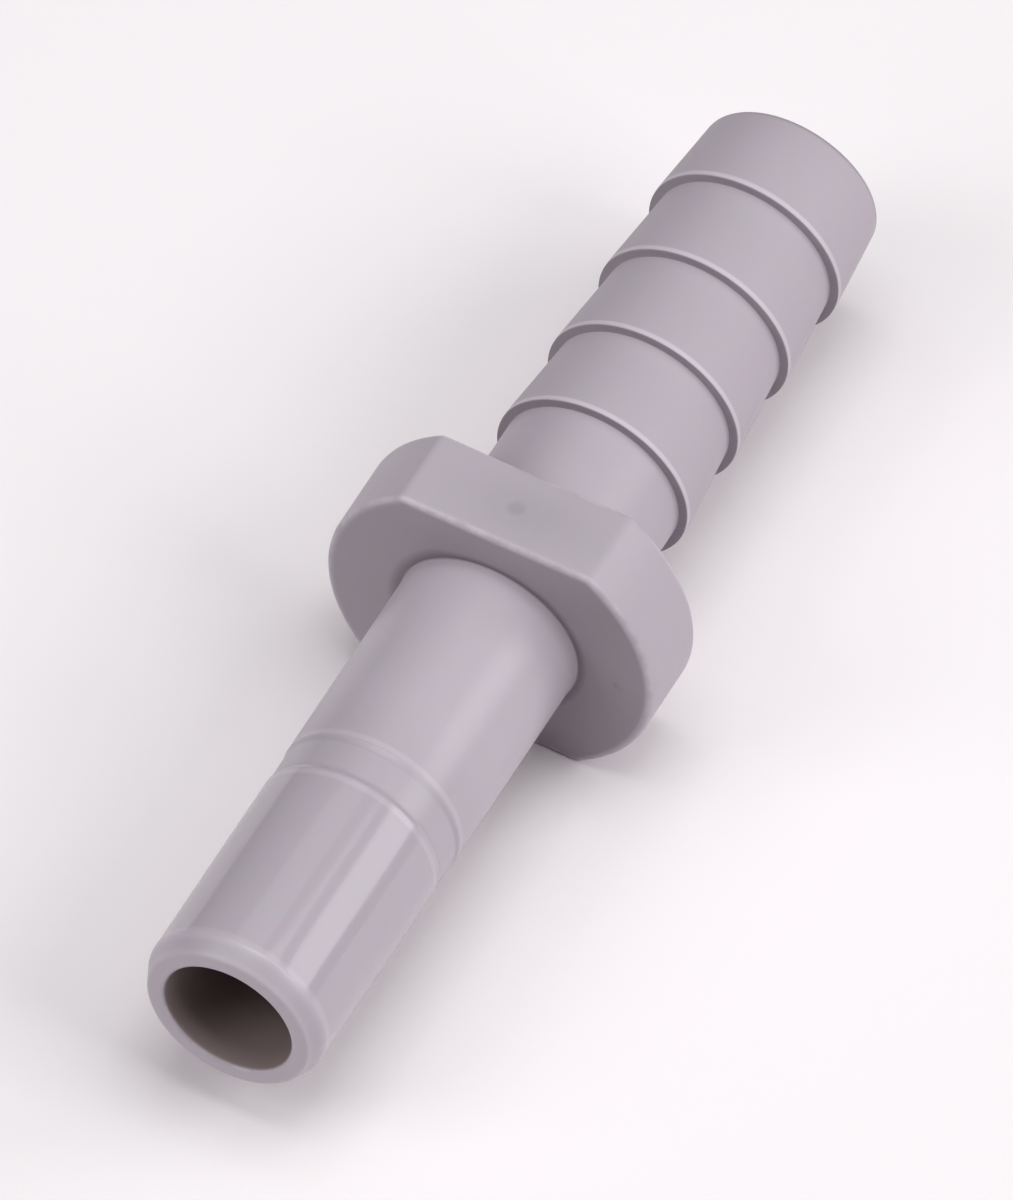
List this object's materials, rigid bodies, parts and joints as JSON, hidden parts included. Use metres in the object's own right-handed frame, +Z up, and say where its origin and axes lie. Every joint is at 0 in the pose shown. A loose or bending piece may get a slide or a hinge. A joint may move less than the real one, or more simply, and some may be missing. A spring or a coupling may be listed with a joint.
{
  "type": "stem to hose-tail adaptor",
  "caption": "Straight one-piece plastic adaptor: plain push-fit stem with a tapered mouth, round collar with two spanner flats, and a barbed hose tail, open right through.",
  "frame": {"origin": "on the bore's axis, in the plane of the collar's stop face, where the plain stem ends", "axes": "+X along the bore from the stem to the hose tail, so the stem's mouth faces -X; +Z up out of the top spanner flat; +Y across the collar"},
  "size_m": [0.077, 0.0234, 0.019],
  "materials": {
    "acetal": "mauve-grey moulded acetal, satin, a little glossier on the stem's tip"
  },
  "bodies": {
    "root": {"hose_adaptor": "acetal"}
  },
  "joints": []
}
